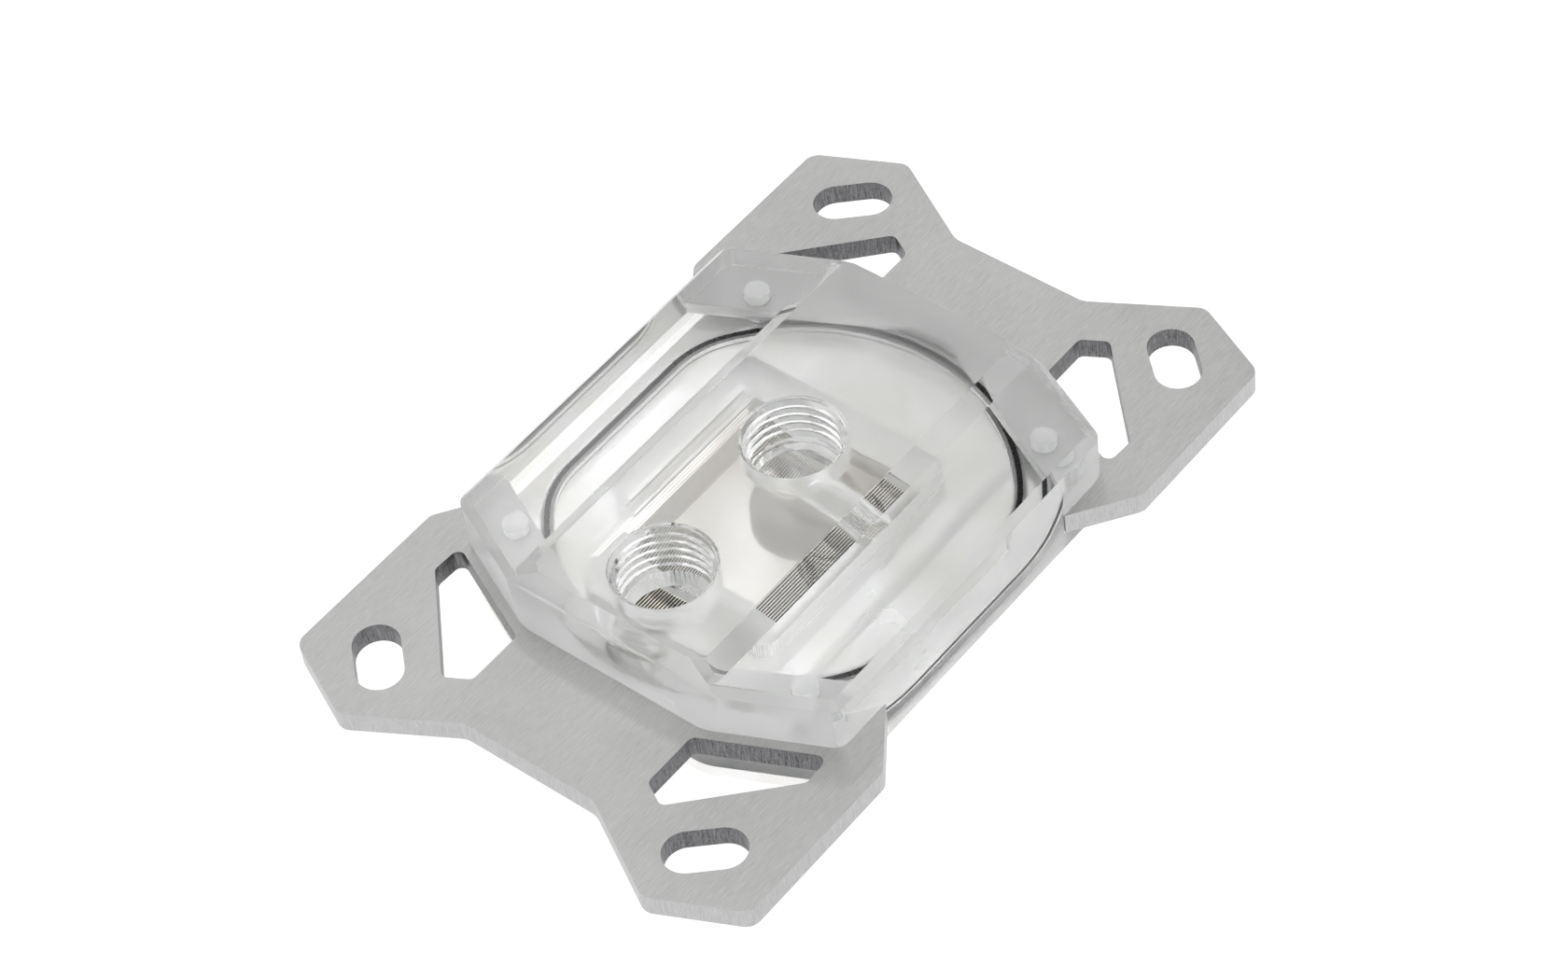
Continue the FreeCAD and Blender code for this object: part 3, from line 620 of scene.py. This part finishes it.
INNER_EDGE_STEEL = CutEdgeSteel(
    name="steel_inner_edge", dark=(0.05, 0.049, 0.052), light=(0.30, 0.295, 0.305),
    line_height=0.014)


def select_only(piece: bpy.types.Object) -> None:
    """Deselect everything, then select one object and make it active.

    Args:
        piece: the object.
    """
    bpy.ops.object.select_all(action="DESELECT")
    piece.select_set(True)
    bpy.context.view_layer.objects.active = piece


def copy_of_node(node: bpy.types.Object, name: str) -> bpy.types.Object:
    """Copy a CAD node as a piece of its own, with its loose triangles merged.

    Args:
        node: the CAD node's object.
        name: the name of the new piece.

    Returns:
        The new piece.
    """
    select_only(node)
    bpy.ops.object.duplicate()
    piece = bpy.context.active_object
    piece.name = name
    piece.data.name = name
    piece.parent = None
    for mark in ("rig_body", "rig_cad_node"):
        del piece[mark]
    piece.data.materials.clear()
    select_only(piece)
    bpy.ops.mesh.customdata_custom_splitnormals_clear()
    bpy.ops.object.mode_set(mode="EDIT")
    bpy.ops.mesh.select_all(action="SELECT")
    bpy.ops.mesh.remove_doubles(threshold=WELD)
    bpy.ops.object.mode_set(mode="OBJECT")
    return piece


def apply_modifier(piece: bpy.types.Object, kind: str, **settings: object) -> None:
    """Add a modifier to a piece and apply it.

    Args:
        piece: the piece.
        kind: Blender's name for the kind of modifier.
        **settings: properties of the modifier.
    """
    modifier = piece.modifiers.new(kind.title(), kind)
    for name, setting in settings.items():
        setattr(modifier, name, setting)
    select_only(piece)
    bpy.ops.object.modifier_apply(modifier=modifier.name)


def smooth(piece: bpy.types.Object) -> None:
    """Shade round walls smooth and keep flat faces flat.

    Args:
        piece: the piece.
    """
    select_only(piece)
    bpy.ops.object.shade_smooth_by_angle(angle=math.radians(SMOOTH_ANGLE))
    apply_modifier(piece, "WEIGHTED_NORMAL", mode="FACE_AREA", keep_sharp=True)


def dress_node(node: bpy.types.Object, material: bpy.types.Material) -> None:
    """Give a CAD node a finish through its material slots.

    Args:
        node: the CAD node's object.
        material: the finish.
    """
    if not node.material_slots:
        node.data.materials.append(material)
    for slot in node.material_slots:
        slot.material = material
    LOG.info("%s is dressed in %s", node.name, material.name)


def stand_for(piece: bpy.types.Object, node: str) -> None:
    """Let a finished piece ride on the body and stand for its CAD node.

    Args:
        piece: the finished piece.
        node: the CAD node's name.
    """
    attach(piece, BODY)
    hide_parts(node)
    LOG.info("%s stands for %s: %d faces", piece.name, node, len(piece.data.polygons))


@dataclass
class PortThread:
    """The straight pipe thread of one port, as a cutter. Sizes are in millimetres."""

    name: str
    centre_x: float
    mouth_z: float
    end_z: float
    pitch: float = 1.337
    root_radius: float = 6.5785
    inner_radius: float = 5.60
    half_width: float = 0.62
    root_half_width: float = 0.11
    root_rounding: float = 0.07
    lead_in: float = 0.75
    fade: float = 1.1
    steps_per_turn: int = 48

    def profile(self) -> bpy.types.Object:
        """Draw the section of the groove as a closed outline in the XZ plane.

        Returns:
            The outline's object, with its origin on the port's axis.
        """
        start = Vector((self.centre_x, 0.0, self.mouth_z + self.lead_in)) * MM
        depth = self.root_radius - self.inner_radius
        bpy.ops.object.select_all(action="DESELECT")
        bpy.ops.mesh.primitive_plane_add(size=1.0, location=start,
                                         rotation=(math.radians(90.0), 0.0, 0.0))
        outline = bpy.context.active_object
        outline.name = self.name
        bpy.ops.object.transform_apply(location=False, rotation=True, scale=False)
        for vertex in outline.data.vertices:
            side = 1.0 if vertex.co.z > 0.0 else -1.0
            outer = vertex.co.x > 0.0
            half = self.root_half_width if outer else self.half_width
            vertex.co = Vector((self.inner_radius + (depth if outer else 0.0), 0.0,
                                side * half)) * MM
            vertex.select = outer
        bpy.ops.object.mode_set(mode="EDIT")
        bpy.ops.mesh.select_mode(type="VERT")
        bpy.ops.mesh.bevel(offset=self.root_rounding * MM, segments=2, affect="VERTICES")
        bpy.ops.mesh.select_all(action="SELECT")
        bpy.ops.mesh.delete(type="ONLY_FACE")
        bpy.ops.object.mode_set(mode="OBJECT")
        return outline

    def cutter(self) -> bpy.types.Object:
        """Wind the section down the port and let it run out above the bottom.

        Returns:
            The closed cutter.
        """
        piece = self.profile()
        turns = (self.mouth_z + self.lead_in - self.end_z) / self.pitch
        steps = round(turns * self.steps_per_turn)
        apply_modifier(piece, "SCREW", axis="Z", angle=-turns * math.tau, steps=steps,
                       render_steps=steps, screw_offset=-turns * self.pitch * MM)
        bpy.ops.object.mode_set(mode="EDIT")
        bpy.ops.mesh.select_all(action="DESELECT")
        bpy.ops.mesh.select_mode(type="EDGE")
        bpy.ops.mesh.select_non_manifold(use_wire=False, use_multi_face=False,
                                         use_non_contiguous=False, use_verts=False)
        bpy.ops.mesh.fill_holes(sides=0)
        bpy.ops.mesh.select_all(action="SELECT")
        bpy.ops.mesh.normals_make_consistent(inside=False)
        bpy.ops.object.mode_set(mode="OBJECT")
        select_only(piece)
        bpy.ops.object.transform_apply(location=True, rotation=True, scale=True)
        self.run_out(piece)
        return piece

    def run_out(self, piece: bpy.types.Object) -> None:
        """Draw the last turn of the cutter in until it cuts nothing.

        Args:
            piece: the cutter.
        """
        axis = Vector((self.centre_x * MM, 0.0))
        depth = self.root_radius - self.inner_radius
        for vertex in piece.data.vertices:
            below = (self.end_z + self.fade * self.pitch) * MM - vertex.co.z
            share = min(max(below / (self.fade * self.pitch * MM), 0.0), 1.0)
            arm = vertex.co.xy - axis
            drawn = arm.normalized() * (arm.length - share * depth * MM)
            vertex.co.x, vertex.co.y = axis + drawn


@dataclass
class ClearTop:
    """The clear acrylic top with its two threaded ports. Sizes are in millimetres."""

    node: bpy.types.Object
    name: str = "clear_top"
    outline_lean: tuple[float, float] = (0.908, 0.418)
    outline_reach: float = 34.0
    side_y: float = 28.0
    end_x: float = 30.0
    end_wall_x: float = 20.0
    flange_x: float = 32.6
    slot_floor: float = 4.4
    slot_ceiling: float = 7.6
    slot_x: float = 17.0
    channel_ceiling: float = 6.45
    shelf: float = 13.8
    top_z: float = 16.6
    base_z: float = 2.05
    fin_window_z: tuple[float, float] = (3.55, 3.65)
    screw_centre: tuple[float, float] = (22.95, 22.15)
    screw_reach: float = 2.6
    level_lean: float = 0.9
    floor_lean: float = 0.99
    end_lean: float = 0.8
    bevel_lean: float = 0.3
    bore_reach: float = 5.9
    drill_z: float = 8.15
    duct_x: float = 1.8
    duct_reach: float = 2.6
    duct_end: float = 14.6
    mouth_reach: float = 6.6
    threads: list[PortThread] = field(default_factory=lambda: [
        PortThread("inlet_thread", centre_x=3.3, mouth_z=16.7, end_z=9.0),
        PortThread("outlet_thread", centre_x=-21.0, mouth_z=16.7, end_z=8.2),
    ])

    def build(self) -> bpy.types.Object:
        """Cut both threads into a copy of the CAD node and finish every face.

        Returns:
            The finished clear top.
        """
        piece = copy_of_node(self.node, self.name)
        for thread in self.threads:
            cutter = thread.cutter()
            apply_modifier(piece, "BOOLEAN", operation="DIFFERENCE", solver="EXACT",
                           object=cutter)
            bpy.data.objects.remove(cutter, do_unlink=True)
        smooth(piece)
        self.dress(piece)
        stand_for(piece, self.node.name)
        return piece

    def dress(self, piece: bpy.types.Object) -> None:
        """Give each face of the top the finish of its place.

        Args:
            piece: the clear top.
        """
        for finish in (POLISHED_ACRYLIC, MILLED_ACRYLIC, SLOTTED_ACRYLIC, TAPPED_ACRYLIC,
                       SATIN_ACRYLIC, BORED_ACRYLIC, DRILLED_ACRYLIC):
            piece.data.materials.append(finish.build())
        for face in piece.data.polygons:
            face.material_index = self.kind_of(face.center / MM, face.normal).value

    def kind_of(self, centre: Vector, normal: Vector) -> AcrylicFace:
        """Say how a face was finished.

        Args:
            centre: the middle of the face, in millimetres.
            normal: its outward normal.

        Returns:
            The kind of face.
        """
        long, wide = abs(centre.x), abs(centre.y)
        level = abs(normal.z) > self.level_lean
        if centre.z > self.threads[-1].end_z and self.near_port(centre):
            return AcrylicFace.TAPPED
        upright = abs(normal.z) < self.floor_lean
        if upright and self.base_z < centre.z < self.drill_z and self.in_bore(centre):
            return AcrylicFace.BORED
        if centre.z > self.top_z and normal.z > self.level_lean:
            return AcrylicFace.SATIN
        if centre.z < self.base_z:
            return AcrylicFace.MILLED
        if centre.z > self.shelf:
            leans_along = abs(normal.x) > self.bevel_lean and not level
            return AcrylicFace.SATIN if leans_along else AcrylicFace.POLISHED
        if self.fin_window_z[0] < centre.z < self.fin_window_z[1]:
            return AcrylicFace.POLISHED
        if math.hypot(long - self.screw_centre[0], wide - self.screw_centre[1]) < (
                self.screw_reach):
            return AcrylicFace.DRILLED
        slotted = self.slot_floor < centre.z < self.slot_ceiling and long > self.slot_x
        if level:
            return AcrylicFace.SLOTTED if slotted else AcrylicFace.MILLED
        end_wall = abs(normal.x) > self.end_lean and long > self.end_wall_x
        if end_wall and centre.z > self.slot_ceiling:
            return AcrylicFace.SATIN
        outside = wide > self.side_y or (
            long * self.outline_lean[0] + wide * self.outline_lean[1] > self.outline_reach)
        end = long > (self.end_x if centre.z > self.slot_ceiling else self.flange_x)
        if outside or end:
            return AcrylicFace.POLISHED
        if slotted:
            return AcrylicFace.SLOTTED
        far_wall = centre.y > 0.0 and centre.z < self.channel_ceiling and long < self.slot_x
        return AcrylicFace.TAPPED if far_wall else AcrylicFace.MILLED

    def near_port(self, centre: Vector) -> bool:
        """Say if a place is in a port's thread or mouth.

        Args:
            centre: the place, in millimetres.

        Returns:
            True within the reach of either port.
        """
        return any(math.hypot(centre.x - thread.centre_x, centre.y) < self.mouth_reach
                   for thread in self.threads)

    def in_bore(self, centre: Vector) -> bool:
        """Say if a place is in the inlet's bore or in the duct that leaves it.

        Args:
            centre: the place, in millimetres.

        Returns:
            True within the reach of either.
        """
        in_duct = abs(centre.x - self.duct_x) < self.duct_reach and (
            -self.duct_end < centre.y < 0.0)
        inlet = self.threads[0].centre_x
        return in_duct or math.hypot(centre.x - inlet, centre.y) < self.bore_reach


@dataclass
class SteelBracket:
    """One bracket cut from brushed sheet steel. Sizes are in millimetres."""

    node: bpy.types.Object
    name: str
    broken_edge: float = 0.14
    flat_angle: float = 1.0
    edge_angle: float = 40.0
    level_lean: float = 0.9
    cutout_centre: tuple[float, float] = (34.5, 20.5)
    cutout_reach: float = 11.4
    bolt_slot_centre: tuple[float, float] = (45.4, 25.1)
    bolt_slot_reach: float = 5.6
    screw_centre: tuple[float, float] = (22.95, 22.15)
    screw_reach: float = 2.4

    def build(self, finishes: list[bpy.types.Material]) -> bpy.types.Object:
        """Break the edges of a copy of the CAD node and finish every face.

        Args:
            finishes: the materials, in the order of SteelFace.

        Returns:
            The finished bracket.
        """
        piece = copy_of_node(self.node, self.name)
        bpy.ops.object.mode_set(mode="EDIT")
        bpy.ops.mesh.select_all(action="SELECT")
        bpy.ops.mesh.dissolve_limited(angle_limit=math.radians(self.flat_angle))
        bpy.ops.object.mode_set(mode="OBJECT")
        apply_modifier(piece, "BEVEL", width=self.broken_edge * MM, segments=2,
                       limit_method="ANGLE", angle_limit=math.radians(self.edge_angle))
        smooth(piece)
        for material in finishes:
            piece.data.materials.append(material)
        for face in piece.data.polygons:
            face.material_index = self.kind_of(face.center / MM, face.normal).value
        stand_for(piece, self.node.name)
        return piece

    def kind_of(self, centre: Vector, normal: Vector) -> SteelFace:
        """Say how a face was finished.

        Args:
            centre: the middle of the face, in millimetres.
            normal: its outward normal.

        Returns:
            The kind of face.
        """
        if abs(normal.z) > self.level_lean:
            return SteelFace.BRUSHED
        holes = ((self.cutout_centre, self.cutout_reach),
                 (self.bolt_slot_centre, self.bolt_slot_reach),
                 (self.screw_centre, self.screw_reach))
        for (x, y), reach in holes:
            if math.hypot(abs(centre.x) - x, abs(centre.y) - y) < reach:
                return SteelFace.INNER_EDGE
        return SteelFace.OUTER_EDGE


@dataclass(frozen=True)
class SkyPanel:
    """One soft light far away in one direction; a negative strength is a dark card."""

    azimuth: float
    elevation: float
    half_angle: float
    softness: float
    strength: float

    def direction(self) -> Vector:
        """Return the direction towards the middle of the panel."""
        level = math.cos(math.radians(self.elevation))
        turn = math.radians(self.azimuth)
        return Vector((level * math.cos(turn), level * math.sin(turn),
                       math.sin(math.radians(self.elevation))))


@dataclass
class Studio:
    """Camera, soft light and white floor."""

    camera_place: Point = (-0.2528, -0.2543, 0.4071)
    camera_right: Point = (0.6230, -0.7759, -0.0995)
    camera_forward: Point = (0.4731, 0.4750, -0.7421)
    lens: float = 102.75
    sensor: float = 36.0
    room: float = 0.95
    floor_size: float = 3.0
    floor_drop: float = 0.00002
    floor_colour: float = 0.80
    shadow_share: float = 0.35
    floor_glow: float = 0.86
    floor_grain: float = 25.0
    floor_mottle: float = 0.99
    clear_bounces: int = 32
    glossy_bounces: int = 12
    diffuse_bounces: int = 8
    panels: tuple[SkyPanel, ...] = (
        SkyPanel(azimuth=41.0, elevation=49.0, half_angle=8.5, softness=6.0, strength=-0.50),
        SkyPanel(azimuth=47.5, elevation=48.5, half_angle=1.9, softness=1.3, strength=5.5),
        SkyPanel(azimuth=-45.0, elevation=48.0, half_angle=18.0, softness=10.0,
                 strength=-0.35),
        SkyPanel(azimuth=135.0, elevation=45.0, half_angle=22.0, softness=14.0,
                 strength=-0.22),
        SkyPanel(azimuth=-135.0, elevation=10.0, half_angle=24.0, softness=10.0,
                 strength=-0.40),
    )

    def build(self) -> None:
        """Set up the view, the camera, the light and the floor."""
        scene = bpy.context.scene
        scene.view_settings.view_transform = "Standard"
        scene.cycles.max_bounces = self.clear_bounces
        scene.cycles.transmission_bounces = self.clear_bounces
        scene.cycles.glossy_bounces = self.glossy_bounces
        scene.cycles.diffuse_bounces = self.diffuse_bounces
        scene.cycles.blur_glossy = 0.0
        self.place_camera(scene)
        self.light(scene)
        self.lay_floor()
        LOG.info("studio: %d soft panels", len(self.panels))

    def place_camera(self, scene: bpy.types.Scene) -> None:
        """Put the camera at the photograph's viewing angle.

        Args:
            scene: the scene.
        """
        data = bpy.data.cameras.new("photo_camera")
        data.lens = self.lens
        data.sensor_width = self.sensor
        camera = bpy.data.objects.new("photo_camera", data)
        scene.collection.objects.link(camera)
        forward = Vector(self.camera_forward).normalized()
        right = Vector(self.camera_right)
        right = (right - forward * right.dot(forward)).normalized()
        pose = Matrix((right, right.cross(forward), -forward)).transposed().to_4x4()
        pose.translation = self.camera_place
        camera.matrix_world = pose
        scene.camera = camera

    def light(self, scene: bpy.types.Scene) -> None:
        """Light the scene with soft panels all around; the camera sees plain white.

        Args:
            scene: the scene.
        """
        world = bpy.data.worlds.new("soft_studio")
        scene.world = world
        world.use_nodes = True
        sheet = NodeSheet(world.node_tree)
        towards = sheet.add("ShaderNodeTexCoord").outputs["Generated"]
        total: Input = self.room
        for panel in self.panels:
            node = sheet.add("ShaderNodeVectorMath", operation="DOT_PRODUCT")
            sheet.feed(node.inputs[0], towards)
            sheet.feed(node.inputs[1], tuple(panel.direction()))
            outer = math.cos(math.radians(panel.half_angle + panel.softness))
            inner = math.cos(math.radians(max(panel.half_angle - panel.softness, 0.0)))
            glow = sheet.remap(node.outputs["Value"], outer, inner, 0.0, panel.strength,
                               smooth=True)
            total = sheet.maths("ADD", total, glow)
        sight = sheet.add("ShaderNodeLightPath").outputs["Is Camera Ray"]
        lit = sheet.add("ShaderNodeBackground", {"Color": WHITE, "Strength": total})
        plain = sheet.add("ShaderNodeBackground", {"Color": WHITE, "Strength": 1.0})
        sheet.surface(sheet.mix(sight, lit.outputs[0], plain.outputs[0]))

    def lay_floor(self) -> None:
        """Lay the white floor, which keeps a soft shadow of the object."""
        bpy.ops.object.select_all(action="DESELECT")
        bpy.ops.mesh.primitive_plane_add(size=self.floor_size,
                                         location=(0.0, 0.0, -self.floor_drop))
        floor = bpy.context.active_object
        floor.name = "studio_floor"
        floor.data.materials.append(self.floor_finish())

    def floor_finish(self) -> bpy.types.Material:
        """Make the floor's material, white to the camera and through glass and metal.

        Returns:
            The material.
        """
        material, sheet = new_material("floor_white")
        grain = sheet.noise(sheet.even(self.floor_grain))
        pale = self.floor_colour
        dull = pale * self.floor_mottle
        plain = sheet.add("ShaderNodeBsdfDiffuse", {
            "Color": sheet.blend(grain, (pale,) * 3, (dull,) * 3)})
        share = self.shadow_share
        faint = sheet.add("ShaderNodeBsdfDiffuse", {"Color": (share, share, share, 1.0)})
        glow = sheet.add("ShaderNodeEmission", {"Strength": self.floor_glow})
        seen = sheet.add("ShaderNodeAddShader")
        sheet.feed(seen.inputs[0], faint.outputs[0])
        sheet.feed(seen.inputs[1], glow.outputs[0])
        path = sheet.add("ShaderNodeLightPath")
        sight = sheet.maths("ADD", path.outputs["Is Camera Ray"], path.outputs["Is Glossy Ray"],
                            clamp=True)
        sight = sheet.maths("ADD", sight, path.outputs["Is Transmission Ray"], clamp=True)
        sheet.surface(sheet.mix(sight, plain.outputs[0], seen.outputs[0]))
        return material


def main() -> None:
    """Load the frame, build the pieces in order and report each one."""
    logging.basicConfig(level=logging.INFO, format="%(message)s")
    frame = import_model()
    nodes = frame["nodes"]
    Studio().build()
    ClearTop(nodes["top_block"]).build()
    finishes = [BrushedSteel().build(), OUTER_EDGE_STEEL.build(), INNER_EDGE_STEEL.build()]
    SteelBracket(nodes["right_bracket"], name="steel_bracket_right").build(finishes)
    SteelBracket(nodes["left_bracket"], name="steel_bracket_left").build(finishes)
    dress_node(nodes["cold_plate"], NickelPlate().build())
    dress_node(nodes["main_seal"], SealRubber().build())
    turned = TurnedSteel().build()
    for number in range(1, 5):
        dress_node(nodes["clamp_screw_%d" % number], turned)


if __name__ == "__main__":
    main()
